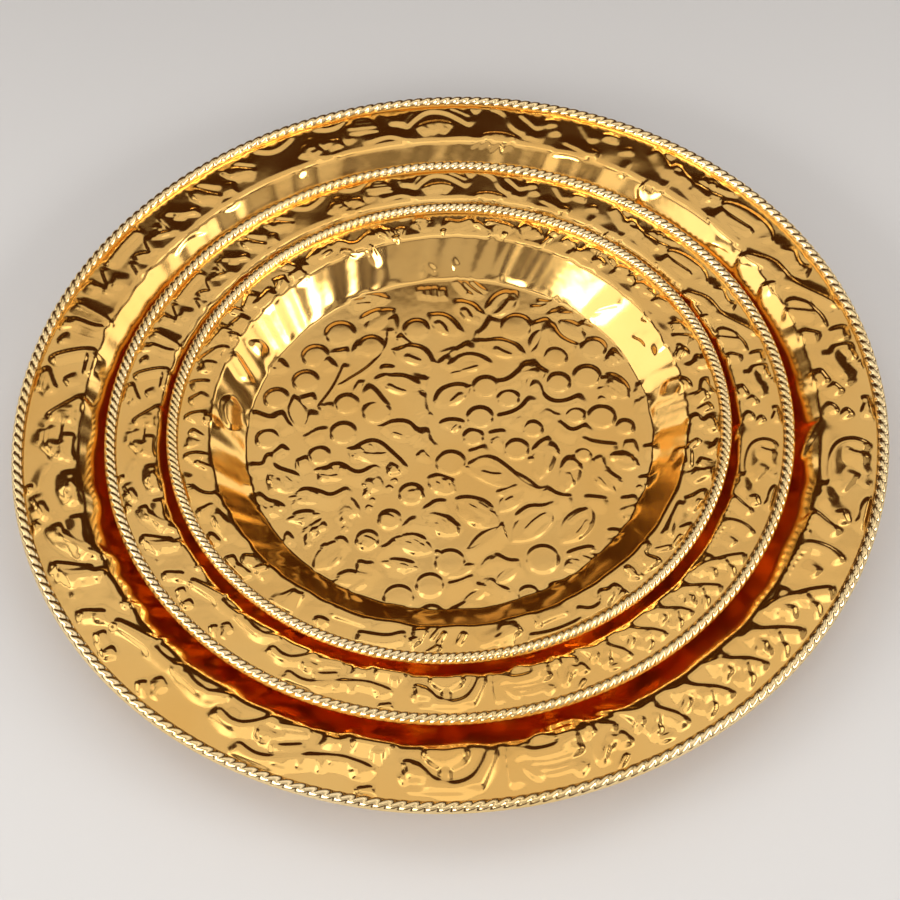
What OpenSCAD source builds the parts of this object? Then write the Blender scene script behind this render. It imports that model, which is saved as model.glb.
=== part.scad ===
// Nested set of three round embossed offering plates, pressed from gold-coloured sheet.
// Millimetres, Z up, the stack stands on Z = 0 and is round about the Z axis.
// Each plate is a pressed shell, a bead rolled on its rim, and a wire inside the bead.

/* [Plate sizes] */
// Small plate, outside diameter over the bead
small_d = 232.4; // [200:0.2:280]
// Ring left open between the small bead and the medium plate's wall
medium_gap = 1.8; // [1.2:0.1:6]
// Ring left open between the medium bead and the large plate's wall
large_gap = 7.2; // [4:0.1:12]

/* [Heights] */
// Height of the large plate's bead centre above the table
large_bead_z = 26.2; // [22:0.1:32]
// Height of the medium plate's bead centre above the table
medium_bead_z = 20.6; // [17:0.1:25]
// Height of the small plate's bead centre above the table
small_bead_z = 19.8; // [16:0.1:24]
// Step from one plate's floor to the next when they are nested
nest_step = 1.7; // [1.4:0.05:2.1]

/* [Sheet] */
// Thickness of the pressed sheet
sheet_t = 0.8; // [0.5:0.05:1]
// Slope of the wall above the horizontal
wall_angle = 45; // [38:0.5:54]
// Slope of the rim, which dips towards the middle
rim_angle = 1; // [0:0.5:2]
// Radius of the bend between floor and wall
foot_bend_r = 2.5; // [1.5:0.1:4]

/* [Rims] */
// Width of the large rim from the bead to the steep wall
large_rim_w = 24.6; // [18:0.1:34]
// Width of the medium rim from the bead to the steep wall
medium_rim_w = 18.8; // [14:0.1:26]
// Width of the small rim from the bead to the steep wall
small_rim_w = 14.1; // [11:0.1:20]
// Radius of the large plate's bend between wall and rim
large_shoulder_r = 12; // [9:0.5:16]
// Radius of the medium plate's bend between wall and rim
medium_shoulder_r = 9; // [7:0.5:12]
// Radius of the small plate's bend between wall and rim
small_shoulder_r = 6; // [4:0.5:8]

/* [Rolled edge] */
// Diameter of the rolled bead
bead_d = 4.6; // [4:0.1:6]
// Diameter of the wire inside the bead
wire_d = 2; // [1.4:0.1:2.6]
// Height of the bead centre above the rim sheet's upper face
bead_rise = 1.1; // [0.8:0.05:1.3]

/* [Embossing] */
// Height of the berries above the small plate's floor
berry_rise = 0.5; // [0.3:0.05:0.7]
// Height of the leaves above the sheet round them
leaf_rise = 0.35; // [0.2:0.05:0.5]

/* [Hidden] */
gold = [0.91, 0.72, 0.36];
steel = [0.62, 0.62, 0.60];
bead_r = bead_d / 2;
wire_r = wire_d / 2;
bend_steps = 6;
medium_d = small_d + 2 * (medium_gap + medium_rim_w + bead_d);
large_d = medium_d + 2 * (large_gap + large_rim_w + bead_d);

// Berries on the floor: across, away from the front, radius, in shares of the floor's radius
berry_shares = [
    [-0.54, 0.68, 0.09], [-0.67, 0.54, 0.08], [-0.38, 0.58, 0.08], [-0.72, 0.38, 0.08],
    [-0.87, 0.28, 0.07], [-0.91, 0.03, 0.06], [-0.51, 0.22, 0.08], [-0.36, 0.16, 0.08],
    [-0.53, 0.04, 0.08], [-0.14, 0.68, 0.08], [0.38, 0.66, 0.09], [0.57, 0.45, 0.08],
    [0.57, 0.28, 0.08], [0.72, 0.31, 0.08], [0.2, 0.28, 0.08], [0.31, 0.2, 0.07],
    [0.16, 0.09, 0.08], [0.42, 0, 0.06], [0.64, 0.07, 0.06], [0.77, 0.05, 0.08],
    [0.88, -0.02, 0.06], [0.77, 0.49, 0.07], [0.12, -0.03, 0.06], [0, -0.18, 0.09],
    [0.33, -0.12, 0.08], [-0.65, -0.09, 0.07], [-0.31, -0.49, 0.07], [-0.13, -0.87, 0.07],
    [-0.03, -0.75, 0.08], [0.41, -0.76, 0.09], [0.66, -0.17, 0.05], [-0.42, -0.6, 0.07],
    [-0.2, -0.35, 0.08]
];
// Leaves on the floor: across, away from the front, length, width as shares of the floor's
// radius, then the turn as a share of a full one
leaf_shares = [
    [-0.16, 0.49, 0.28, 0.12, 0.93], [-0.24, 0.31, 0.3, 0.12, 0.93], [-0.24, 0.04, 0.27, 0.11, 0.96],
    [0.01, 0.7, 0.26, 0.12, 0.9], [0.28, 0.53, 0.3, 0.11, 0.93], [0.12, 0.43, 0.26, 0.11, 0.01],
    [0.03, 0.23, 0.22, 0.11, 0.09], [0.33, 0.35, 0.24, 0.09, 0.09], [0.67, 0.62, 0.2, 0.1, 0.86],
    [0.25, -0.27, 0.4, 0.13, 0.94], [0.14, -0.61, 0.26, 0.1, 0.1], [0.38, -0.52, 0.26, 0.12, 0.07],
    [0.6, -0.57, 0.22, 0.1, 0.09], [0.47, -0.17, 0.2, 0.11, 0.21], [0.6, -0.3, 0.18, 0.09, 0.8],
    [0.75, -0.3, 0.2, 0.1, 0.85], [-0.38, -0.12, 0.34, 0.13, 0.93], [-0.58, -0.21, 0.22, 0.09, 0.97],
    [-0.66, -0.37, 0.28, 0.09, 0.02], [-0.83, -0.22, 0.22, 0.14, 0.89], [0.12, -0.47, 0.22, 0.12, 0.93],
    [-0.06, -0.55, 0.22, 0.12, 0.92], [-0.2, -0.66, 0.18, 0.09, 0.94], [-0.48, -0.78, 0.2, 0.09, 0.01],
    [0.84, 0.22, 0.18, 0.11, 0.87], [0.6, -0.74, 0.18, 0.1, 0.03], [-0.37, 0.8, 0.2, 0.09, 0.08],
    [0.33, 0.83, 0.2, 0.09, 0.1], [-0.12, -0.1, 0.18, 0.09, 0.2], [0.5, 0.16, 0.18, 0.08, 0.1]
];
// Leaves on a rim: place round the plate and lean as shares of a full turn, place across
// the rim, length and width as shares of the rim's width
rim_leaf_shares = [
    [0.01, 0.1, 0.6, 0.7, 0.24], [0.04, 0.75, 0.45, 0.8, 0.22], [0.07, 0.05, 0.68, 0.7, 0.24],
    [0.1, 0.95, 0.6, 0.7, 0.22], [0.13, 0.12, 0.55, 0.8, 0.24], [0.16, 0.2, 0.6, 0.7, 0.22],
    [0.19, 0.28, 0.55, 0.75, 0.24], [0.21, 0.2, 0.5, 0.8, 0.22], [0.24, 0.25, 0.65, 0.55, 0.3],
    [0.27, 0.22, 0.55, 0.75, 0.24], [0.3, 0.3, 0.6, 0.7, 0.22], [0.33, 0.2, 0.55, 0.8, 0.24],
    [0.36, 0.25, 0.55, 0.75, 0.22], [0.39, 0.15, 0.5, 0.75, 0.24], [0.42, 0.8, 0.6, 0.75, 0.24],
    [0.45, 0.25, 0.5, 0.8, 0.22], [0.48, 0.15, 0.55, 0.75, 0.24], [0.51, 0.02, 0.5, 0.7, 0.24],
    [0.54, 0.9, 0.6, 0.75, 0.22], [0.57, 0.8, 0.5, 0.85, 0.22], [0.6, 0.82, 0.55, 0.75, 0.24],
    [0.63, 0.9, 0.5, 0.7, 0.24], [0.66, 0.02, 0.45, 0.8, 0.22], [0.69, 0.06, 0.6, 0.75, 0.26],
    [0.72, 0.0, 0.5, 0.6, 0.24], [0.75, 0.22, 0.55, 0.7, 0.26], [0.78, 0.0, 0.6, 0.7, 0.3],
    [0.81, 0.2, 0.55, 0.8, 0.22], [0.83, 0.18, 0.55, 0.8, 0.22], [0.85, 0.18, 0.55, 0.8, 0.22],
    [0.87, 0.18, 0.55, 0.8, 0.22], [0.89, 0.18, 0.55, 0.8, 0.22], [0.91, 0.2, 0.55, 0.75, 0.22],
    [0.94, 0.3, 0.5, 0.7, 0.24], [0.97, 0.12, 0.55, 0.75, 0.26]
];

// points on an arc about c, from angle a0 to angle a1
function arc(c, r, a0, a1, n) =
    [for (i = [0:n]) let (a = a0 + (a1 - a0) * i / n) c + r * [cos(a), sin(a)]];

// Upper outline of a plate from the axis out to the bead, measured on the sheet's
// upper face, moved along its normal by off so that the two faces stay parallel.
function face(floor_z, rim_z, bead_x, rim_w, shoulder_r, off) =
    let (
        in_x = bead_x - bead_r,
        knee_x = in_x - rim_w,
        sh_x = knee_x + shoulder_r * sin(wall_angle),
        sh_z = rim_z - (in_x - sh_x + shoulder_r * sin(rim_angle)) * tan(rim_angle)
             - shoulder_r * cos(rim_angle),
        knee_z = sh_z + shoulder_r * cos(wall_angle),
        foot_z = floor_z + foot_bend_r,
        drop = knee_z - (foot_z - foot_bend_r * cos(wall_angle)),
        foot_x = knee_x - drop / tan(wall_angle) - foot_bend_r * sin(wall_angle)
    )
    concat(
        [[0, floor_z + off]],
        arc([foot_x, foot_z], foot_bend_r - off, -90, wall_angle - 90, bend_steps),
        arc([sh_x, sh_z], shoulder_r + off, 90 + wall_angle, 90 + rim_angle, bend_steps),
        [[bead_x, rim_z + bead_r * tan(rim_angle) + off]]
    );

module plate_section(floor_z, bead_z, bead_x, rim_w, shoulder_r) {
    rim_z = bead_z - bead_rise;
    top = face(floor_z, rim_z, bead_x, rim_w, shoulder_r, 0);
    low = face(floor_z, rim_z, bead_x, rim_w, shoulder_r, -sheet_t);
    n = len(low);
    polygon(concat(top, [for (i = [0:n - 1]) low[n - 1 - i]]));
}

module shell(d, bead_z, floor_z, rim_w, shoulder_r) {
    bead_x = d / 2 - bead_r;
    color(gold)
        rotate_extrude()
            difference() {
                plate_section(floor_z, bead_z, bead_x, rim_w, shoulder_r);
                translate([bead_x, bead_z])
                    circle(r = bead_r);
            }
}

// a leaf's outline, raised from the middle of the sheet up to h above its own base
module leaf(length, width, low, h) {
    bow = (length * length + width * width) / (4 * width);
    intersection() {
        translate([0, bow - width / 2, low])
            cylinder(r = bow, h = h - low);
        translate([0, width / 2 - bow, low])
            cylinder(r = bow, h = h - low);
    }
}

module berry(r) {
    cap_r = (r * r + berry_rise * berry_rise) / (2 * berry_rise);
    intersection() {
        translate([0, 0, berry_rise - cap_r])
            sphere(r = cap_r);
        translate([0, 0, -sheet_t / 2])
            cylinder(r = r, h = sheet_t / 2 + berry_rise);
    }
}

// the part of the sheet's upper side that a rim leaf may fill, from the shoulder to the bead
module rim_band(d, bead_z, floor_z, rim_w, shoulder_r) {
    bead_x = d / 2 - bead_r;
    in_x = bead_x - bead_r;
    rim_z = bead_z - bead_rise;
    rotate_extrude()
        intersection() {
            difference() {
                polygon(concat(
                    face(floor_z, rim_z, bead_x, rim_w, shoulder_r, leaf_rise),
                    [[bead_x, 0], [0, 0]]));
                polygon(concat(
                    face(floor_z, rim_z, bead_x, rim_w, shoulder_r, -sheet_t / 2),
                    [[bead_x, 0], [0, 0]]));
            }
            translate([in_x - rim_w * 0.9, 0])
                square([rim_w * 0.85, bead_z]);
        }
}

module rim_leaves(d, bead_z, floor_z, rim_w, shoulder_r) {
    in_x = d / 2 - bead_d;
    color(gold)
        intersection() {
            rim_band(d, bead_z, floor_z, rim_w, shoulder_r);
            union()
                for (leaf_at = rim_leaf_shares)
                    rotate(leaf_at[0] * 360)
                        translate([in_x - rim_w * (1 - leaf_at[2]), 0])
                            rotate(leaf_at[1] * 360)
                                leaf(leaf_at[3] * rim_w, leaf_at[4] * rim_w, 0, bead_z);
        }
}

module floor_relief(floor_z, floor_r) {
    color(gold)
        translate([0, 0, floor_z]) {
            for (b = berry_shares)
                translate([b[0] * floor_r, b[1] * floor_r])
                    berry(b[2] * floor_r);
            for (f = leaf_shares)
                translate([f[0] * floor_r, f[1] * floor_r])
                    rotate(f[4] * 360)
                        leaf(f[2] * floor_r, f[3] * floor_r, -sheet_t / 2, leaf_rise);
        }
}

module rope_edge(d, bead_z) {
    color(gold)
        rotate_extrude()
            translate([d / 2 - bead_r, bead_z])
                difference() {
                    circle(r = bead_r);
                    circle(r = wire_r);
                }
}

module edge_wire(d, bead_z) {
    color(steel)
        rotate_extrude()
            translate([d / 2 - bead_r, bead_z])
                circle(r = wire_r);
}

module large_shell() {
    shell(large_d, large_bead_z, sheet_t, large_rim_w, large_shoulder_r);
    rim_leaves(large_d, large_bead_z, sheet_t, large_rim_w, large_shoulder_r);
}

module large_rope_edge() {
    rope_edge(large_d, large_bead_z);
}

module large_edge_wire() {
    edge_wire(large_d, large_bead_z);
}

module medium_shell() {
    floor_z = sheet_t + nest_step;
    shell(medium_d, medium_bead_z, floor_z, medium_rim_w, medium_shoulder_r);
    rim_leaves(medium_d, medium_bead_z, floor_z, medium_rim_w, medium_shoulder_r);
}

module medium_rope_edge() {
    rope_edge(medium_d, medium_bead_z);
}

module medium_edge_wire() {
    edge_wire(medium_d, medium_bead_z);
}

module small_shell() {
    floor_z = sheet_t + nest_step * 2;
    section = face(floor_z, small_bead_z - bead_rise, small_d / 2 - bead_r, small_rim_w,
        small_shoulder_r, 0);
    shell(small_d, small_bead_z, floor_z, small_rim_w, small_shoulder_r);
    rim_leaves(small_d, small_bead_z, floor_z, small_rim_w, small_shoulder_r);
    floor_relief(floor_z, section[1][0]);
}

module small_rope_edge() {
    rope_edge(small_d, small_bead_z);
}

module small_edge_wire() {
    edge_wire(small_d, small_bead_z);
}

large_shell();
large_rope_edge();
large_edge_wire();
medium_shell();
medium_rope_edge();
medium_edge_wire();
small_shell();
small_rope_edge();
small_edge_wire();
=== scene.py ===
from math import cos, pi, radians, sin, tan

import bpy
import numpy as np
from mathutils import Matrix, Vector


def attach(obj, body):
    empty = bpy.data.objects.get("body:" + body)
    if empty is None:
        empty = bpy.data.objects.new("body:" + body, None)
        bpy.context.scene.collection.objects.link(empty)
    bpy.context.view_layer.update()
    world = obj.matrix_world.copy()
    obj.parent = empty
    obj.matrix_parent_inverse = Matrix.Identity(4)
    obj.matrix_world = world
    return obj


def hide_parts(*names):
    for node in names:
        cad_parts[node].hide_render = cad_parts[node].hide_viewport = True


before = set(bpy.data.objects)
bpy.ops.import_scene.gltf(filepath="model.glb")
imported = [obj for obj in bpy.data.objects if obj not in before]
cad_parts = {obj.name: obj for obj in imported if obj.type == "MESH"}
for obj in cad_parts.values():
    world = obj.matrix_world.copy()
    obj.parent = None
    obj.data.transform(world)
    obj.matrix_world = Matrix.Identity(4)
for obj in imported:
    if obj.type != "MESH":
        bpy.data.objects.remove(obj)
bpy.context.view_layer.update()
scene = bpy.context.scene
mm = 0.001
print("frame loaded")

# plates, in millimetres as in the CAD; rimWidth: from the wall's top to the bead; designWidth: how far in
# from the bead the rim's pattern starts; floorRings: points in the innermost ring, and spacing;
# rimRings and underside: the most points in a ring, and spacing
plates = {
    "large": {
        "body": "large_plate", "floorTop": 0.8, "beadRadius": 175.5, "beadHeight": 26.2,
        "rimWidth": 22.55, "designWidth": 24.6, "shoulder": 5.0,
        "floorRings": (90, 1.05), "rimRings": (1440, 0.6), "underside": (360, 1.8),
    },
    "medium": {
        "body": "medium_plate", "floorTop": 2.5, "beadRadius": 139.1, "beadHeight": 20.6,
        "rimWidth": 17.5, "designWidth": 18.8, "shoulder": 4.5,
        "floorRings": (90, 1.05), "rimRings": (1440, 0.5), "underside": (360, 1.6),
    },
    "small": {
        "body": "small_plate", "floorTop": 4.2, "beadRadius": 113.9, "beadHeight": 19.8,
        "rimWidth": 13.5, "designWidth": 14.1, "shoulder": 4.0,
        "floorRings": (60, 0.42), "rimRings": (1440, 0.42), "underside": (240, 1.6),
    },
}
# edgeInside: how far short of the bead's middle the sheet ends; normalStep: how far each way a normal looks;
# fineInside: how far inside the foot bend the rings of the wall and rim start; leastStep: the least distance
# of two rings; widestCell: how wide a cell may be, in spacings
sheet = {
    "thickness": 0.8, "wallAngle": 45.0, "rimAngle": 1.0, "footBend": 2.5, "beadRise": 1.1, "edgeInside": 0.6,
    "footPoints": 9, "shoulderPoints": 25, "normalStep": 0.4, "fineInside": 1.5, "leastStep": 0.15,
    "widestCell": 1.5,
}
# lay: the slant of the ridges, along over across; knurlFrom: how high on the bead they start, in radii;
# blend: over how many radii they come up; sharpness: above 1 the grooves are narrower than the ridges
rope = {
    "beadRadius": 2.3, "ridges": 240, "depth": 0.6, "samplesPerRidge": 8, "sectionPoints": 20,
    "lay": 1.0, "knurlFrom": 0.15, "blend": 0.25, "sharpness": 2.4,
}


def smooth(v):
    v = np.clip(v, 0, 1)
    return v * v * (3 - 2 * v)


def addObject(name, data):
    made = bpy.data.objects.new(name, data)
    scene.collection.objects.link(made)
    return made


# plate profile: radius, height and normal along the sheet's upper face
def arcPoints(centre, radius, startDeg, endDeg, count):
    angle = np.radians(np.linspace(startDeg, endDeg, count))
    return np.c_[centre[0] + radius * np.cos(angle), centre[1] + radius * np.sin(angle)]


def plateProfile(plate):
    wallDeg, rimDeg = sheet["wallAngle"], sheet["rimAngle"]
    wall, rim = radians(wallDeg), radians(rimDeg)
    bend, shoulder = sheet["footBend"], plate["shoulder"]
    rimZ = plate["beadHeight"] - sheet["beadRise"]
    innerX = plate["beadRadius"] - rope["beadRadius"]
    kneeX = innerX - plate["rimWidth"]
    shoulderX = kneeX + shoulder * sin(wall)
    shoulderZ = rimZ - (innerX - shoulderX + shoulder * sin(rim)) * tan(rim) - shoulder * cos(rim)
    footZ = plate["floorTop"] + bend
    drop = shoulderZ + shoulder * cos(wall) - (footZ - bend * cos(wall))
    footX = kneeX - drop / tan(wall) - bend * sin(wall)
    foot = arcPoints((footX, footZ), bend, -90, wallDeg - 90, sheet["footPoints"])
    knee = arcPoints((shoulderX, shoulderZ), shoulder, 90 + wallDeg, 90 + rimDeg, sheet["shoulderPoints"])
    short = sheet["edgeInside"]
    end = [[plate["beadRadius"] - short, rimZ + (rope["beadRadius"] - short) * tan(rim)]]
    line = np.vstack([[[0, plate["floorTop"]]], foot, knee, end])
    length = np.r_[0, np.cumsum(np.hypot(*np.diff(line, axis=0).T))]
    return line, length, footX


def sampleProfile(line, length, at):
    radius, height = np.interp(at, length, line[:, 0]), np.interp(at, length, line[:, 1])
    step = sheet["normalStep"]
    back, ahead = np.clip(at - step, 0, length[-1]), np.clip(at + step, 0, length[-1])
    dr = np.interp(ahead, length, line[:, 0]) - np.interp(back, length, line[:, 0])
    dz = np.interp(ahead, length, line[:, 1]) - np.interp(back, length, line[:, 1])
    size = np.hypot(dr, dz)
    return radius, height, -dz / size, dr / size


# rings of points; the count doubles outward so that cells stay even
def ringCounts(radii, baseCount, limits, finest):
    counts, count = [], baseCount
    for radius, spacing in zip(radii, limits):
        while count < finest and 2 * pi * radius / count > spacing * sheet["widestCell"]:
            count *= 2
        counts.append(count)
    return counts


def ringFaces(counts, starts, flip):
    quads, tris = [], []
    for k in range(1, len(counts) - 1):
        a, b, na, nb = starts[k], starts[k + 1], counts[k], counts[k + 1]
        i = np.arange(na)
        j = (i + 1) % na
        if na == nb:
            quads.append(np.c_[a + i, b + i, b + j, a + j])
        else:
            c0, c1, c2 = b + 2 * i, b + 2 * i + 1, b + (2 * i + 2) % nb
            tris += [np.c_[a + i, c0, c1], np.c_[a + i, c1, a + j], np.c_[a + j, c1, c2]]
    i = np.arange(counts[1])
    tris.append(np.c_[np.full(counts[1], starts[0]), starts[1] + i, starts[1] + (i + 1) % counts[1]])
    quads, tris = np.vstack(quads), np.vstack(tris)
    return (quads[:, ::-1], tris[:, ::-1]) if flip else (quads, tris)


def makeMesh(name, points, quads, tris):
    mesh = bpy.data.meshes.new(name)
    loops = np.r_[quads.ravel(), tris.ravel()].astype(np.int32)
    sizes = np.r_[np.full(len(quads), 4), np.full(len(tris), 3)].astype(np.int32)
    mesh.vertices.add(len(points))
    mesh.vertices.foreach_set("co", (points * mm).astype(np.float32).ravel())
    mesh.loops.add(len(loops))
    mesh.loops.foreach_set("vertex_index", loops)
    mesh.polygons.add(len(sizes))
    mesh.polygons.foreach_set("loop_start", np.r_[0, np.cumsum(sizes)[:-1]].astype(np.int32))
    mesh.polygons.foreach_set("use_smooth", np.ones(len(sizes), dtype=bool))
    mesh.update(calc_edges=True)
    mesh.validate()
    return addObject(name, mesh)


def makeSheet(name, plate, design):
    line, length, footX = plateProfile(plate)
    baseCount, floorStep = plate["floorRings"]
    points, quads, tris, edges, offset = [], [], [], [], 0
    for under, (finest, rimStep) in enumerate((plate["rimRings"], plate["underside"])):
        # the underside has the same spacing all over
        seam, innerStep = (length[-1], rimStep) if under else (footX - sheet["fineInside"], floorStep)
        stops = np.r_[np.arange(0, seam, innerStep), np.arange(seam, length[-1], rimStep), length[-1]]
        stops = stops[np.r_[True, np.diff(stops) > sheet["leastStep"]]]
        radii, heights, normalR, normalZ = sampleProfile(line, length, stops)
        counts = ringCounts(radii, baseCount, np.where(stops < seam, innerStep, rimStep), finest)
        counts[0] = 1
        starts = offset + np.r_[0, np.cumsum(counts)[:-1]]
        angle = np.concatenate([np.arange(n) * 2 * pi / n for n in counts])
        ring = np.repeat(np.arange(len(counts)), counts)
        lift = reliefHeight(plate, design, radii[ring], angle, footX)
        if under:
            # never below the surface that the set stands on
            lift = np.maximum(lift - sheet["thickness"], -heights[ring] / normalZ[ring])
        r = radii[ring] + normalR[ring] * lift
        points.append(np.c_[r * np.cos(angle), r * np.sin(angle), heights[ring] + normalZ[ring] * lift])
        fours, threes = ringFaces(counts, starts, under)
        quads.append(fours)
        tris.append(threes)
        edges.append((starts[-1], counts[-1]))
        offset += sum(counts)
    # the strip that closes the sheet inside the bead
    (a, na), (b, nb) = edges
    i, k = np.arange(na), np.arange(nb)
    share = na // nb
    tris.append(np.c_[a + i, b + (i // share), a + (i + 1) % na])
    tris.append(np.c_[a + ((k + 1) * share) % na, b + k, b + (k + 1) % nb])
    return makeMesh(name, np.vstack(points), np.vstack(quads), np.vstack(tris))


def makeRope(name, plate):
    ridges, around = rope["ridges"], rope["sectionPoints"]
    count = ridges * rope["samplesPerRidge"]
    i, j = np.meshgrid(np.arange(count), np.arange(around), indexing="ij")
    angle, section = i * 2 * pi / count, j * 2 * pi / around
    inward = -rope["beadRadius"] * np.cos(section)
    phase = ridges * (angle - inward * rope["lay"] / plate["beadRadius"])
    notch = (0.5 + 0.5 * np.cos(phase)) ** rope["sharpness"]
    onTop = smooth((np.sin(section) - rope["knurlFrom"]) / rope["blend"])
    r = rope["beadRadius"] - rope["depth"] * notch * onTop
    radius, height = plate["beadRadius"] + r * np.cos(section), plate["beadHeight"] + r * np.sin(section)
    points = np.stack([radius * np.cos(angle), radius * np.sin(angle), height], -1)
    ahead, up = ((i + 1) % count) * around, (j + 1) % around
    quads = np.stack([i * around + j, ahead + j, ahead + up, i * around + up], -1).reshape(-1, 4)
    return makeMesh(name, points.reshape(-1, 3), quads, np.empty((0, 3), int))


# the floor's flowers, in percent of the floor's radius; a stroke is the x and y of each of its points
# berries: centre x, centre y, radius
floorBerries = (
    (-54, 68, 9), (-67, 54, 8.2), (-38, 58.5, 8), (-72, 38, 8), (-87, 28, 7.6), (-91, 3, 7.3), (-51, 22, 7.6),
    (-36, 16, 8.5), (-53, 4, 8), (-14, 68, 8), (38, 66, 9.6), (57, 45, 7.6), (57, 28, 7.6), (72, 31, 8.4),
    (20, 28, 8), (31, 20, 7), (16, 9, 8), (42, 0, 6.5), (64, 7, 6.4), (77, 5, 8.4), (88, -2, 6), (77, 49, 8),
    (12, -3, 6.5), (0, -18, 8.8), (33, -12, 7.6), (-65, -9, 6.8), (-31, -49, 7), (-28, -93, 8.6),
    (-13, -87, 8), (-3, -75, 8.6), (-13, -104, 8), (41, -76, 9.2), (33, -95, 6.4), (66, -17, 5.4),
    (-42, -60, 7), (-20, -35, 7.6),
)
# raised edges, high on the right hand: bold ones first
floorBold = (
    (-62, 56, -60, 52, -57, 48, -55, 43), (-51, 60, -50, 55, -52, 50), (-69, 32, -67, 26, -67, 21),
    (-85, 22, -82, 16, -80, 12, -76, 7), (-101, 22, -95, 19, -85, 14), (-41, 35, -36, 30, -32, 23, -28, 17),
    (-88, 56, -83, 51, -80, 44), (-27, 53, -22, 57, -17, 58, -11, 56, -7, 50, -6, 43, -4, 41),
    (-38, 35, -34, 39, -27, 39, -20, 38, -14, 33, -13, 26, -11, 23), (-35, 45, -29, 45, -25, 43),
    (-37, 5, -31, 9, -26, 10, -20, 9, -16, 4, -14, 0, -11, -1), (-26, 81, -24, 75, -24, 68, -26, 62),
    (-9, 77, -2, 78, 3, 76, 7, 71, 11, 62), (5, 86, 11, 86, 17, 83, 20, 78, 23, 74),
    (23, 76, 24, 82, 28, 88, 34, 91, 39, 90), (5, 56, 6, 53, 10, 56, 14, 59),
    (14, 59, 22, 58, 28, 59, 34, 57, 39, 53, 42, 45), (-1, 40, 3, 45, 8, 49, 14, 50, 20, 48, 25, 41),
    (-7, 16, -6, 23, -3, 28, 1, 30, 7, 31, 13, 28), (24, 33, 28, 31, 33, 33, 38, 38, 43, 44),
    (23, 10, 28, 10, 34, 12, 39, 16, 42, 22), (47, 32, 48, 24, 51, 18, 56, 16, 62, 17, 69, 21),
    (46, 45, 47, 40, 51, 36, 54, 35), (49, 14, 52, 10, 55, 8, 59, 9), (45, 69, 48, 68, 53, 70, 58, 70),
    (57, 69, 59, 62, 61, 58, 66, 54, 71, 51), (54, 6, 57, 2, 61, -2, 65, -1, 70, 3), (18, -1, 24, 0, 30, 1),
    (-6, 4, -3, 8, 1, 9, 6, 8, 10, 5), (-10, 6, -10, -1, -8, -6, -5, -5), (-11, 28, -11, 19, -10, 13, -7, 14),
    (-85, 0, -82, -3, -79, -7),
    (-101, -10, -97, -12, -93, -12, -92, -8, -90, -6, -88, -9, -87, -14, -81, -17, -76, -19, -73, -24),
    (-95, -27, -93, -31, -90, -34, -86, -35, -82, -38, -80, -41),
    (-79, -33, -76, -29, -71, -28, -65, -30, -60, -33, -55, -31, -50, -27),
    (-68, -17, -62, -17, -58, -14, -53, -15, -48, -20, -43, -20, -35, -14),
    (-53, -7, -48, -6, -44, -3, -39, -1, -34, -3, -29, -9, -24, -15, -20, -22),
    (-37, -21, -34, -26, -33, -34), (-50, -33, -47, -39, -44, -46), (-53, -38, -50, -42, -46, -46),
    (-29, -16, -26, -19, -24, -23), (-78, -11, -75, -11, -70, -8), (-36, -62, -34, -64, -31, -62, -28, -58),
    (-28, -59, -23, -58, -19, -58, -15, -60, -12, -65), (-17, -43, -15, -44, -12, -42, -8, -39, -1, -40),
    (-1, -40, 5, -38, 11, -39, 17, -42, 21, -49), (-14, -28, -10, -25, -5, -24, 0, -27, 3, -31),
    (-15, -47, -9, -47, -3, -49, 1, -53, 5, -58), (-60, -60, -55, -57, -52, -59, -50, -66),
    (-64, -47, -62, -50, -61, -54), (-80, -45, -77, -42, -71, -41, -65, -43),
    (-83, -53, -81, -52, -78, -56, -76, -61), (-49, -71, -46, -71, -42, -73, -38, -71),
    (-35, -72, -30, -71, -25, -72, -20, -74, -18, -77), (-59, -81, -56, -78, -51, -76, -46, -78, -38, -80),
    (-7, -86, -3, -86, 3, -84, 9, -81), (-7, -100, -3, -100, 3, -97, 7, -92),
    (3, -69, 8, -67, 14, -63, 20, -57, 23, -54, 26, -55),
    (6, -21, 10, -18, 16, -15, 22, -16, 28, -22, 33, -28, 38, -33, 45, -37), (7, -12, 13, -10, 19, -7),
    (39, -16, 42, -11, 46, -7, 52, -5), (51, -8, 53, -13, 55, -18), (59, -16, 61, -19, 64, -24, 65, -28),
    (69, -23, 72, -19, 77, -18), (77, -22, 79, -18, 84, -17, 89, -18, 91, -24),
    (76, -23, 76, -26, 79, -30, 85, -35), (47, -33, 48, -37, 52, -40, 60, -41), (62, -41, 68, -42, 77, -44),
    (80, -43, 85, -44, 90, -42), (64, -5, 70, -9, 77, -11, 85, -12), (86, -10, 89, -11, 93, -10),
    (94, -14, 98, -14, 104, -13), (89, -34, 93, -32, 98, -32, 104, -33), (20, -40, 22, -36, 27, -34, 35, -33),
    (28, -54, 31, -49, 37, -45, 44, -46, 52, -43), (51, -59, 55, -54, 60, -50, 68, -48),
    (18, -69, 21, -73, 26, -76, 32, -75), (51, -77, 53, -73, 59, -71, 65, -70, 68, -74),
    (15, -82, 17, -86, 21, -90, 27, -93), (40, -92, 45, -89, 53, -89), (78, -53, 82, -50, 92, -48),
    (71, -63, 75, -61, 82, -63), (80, 31, 83, 32, 88, 30, 92, 24, 93, 17), (81, 41, 85, 45, 89, 50),
    (-44, 75, -41, 80, -35, 83, -30, 84), (-52, 88, -45, 92, -38, 95, -31, 93, -27, 88),
)
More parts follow.
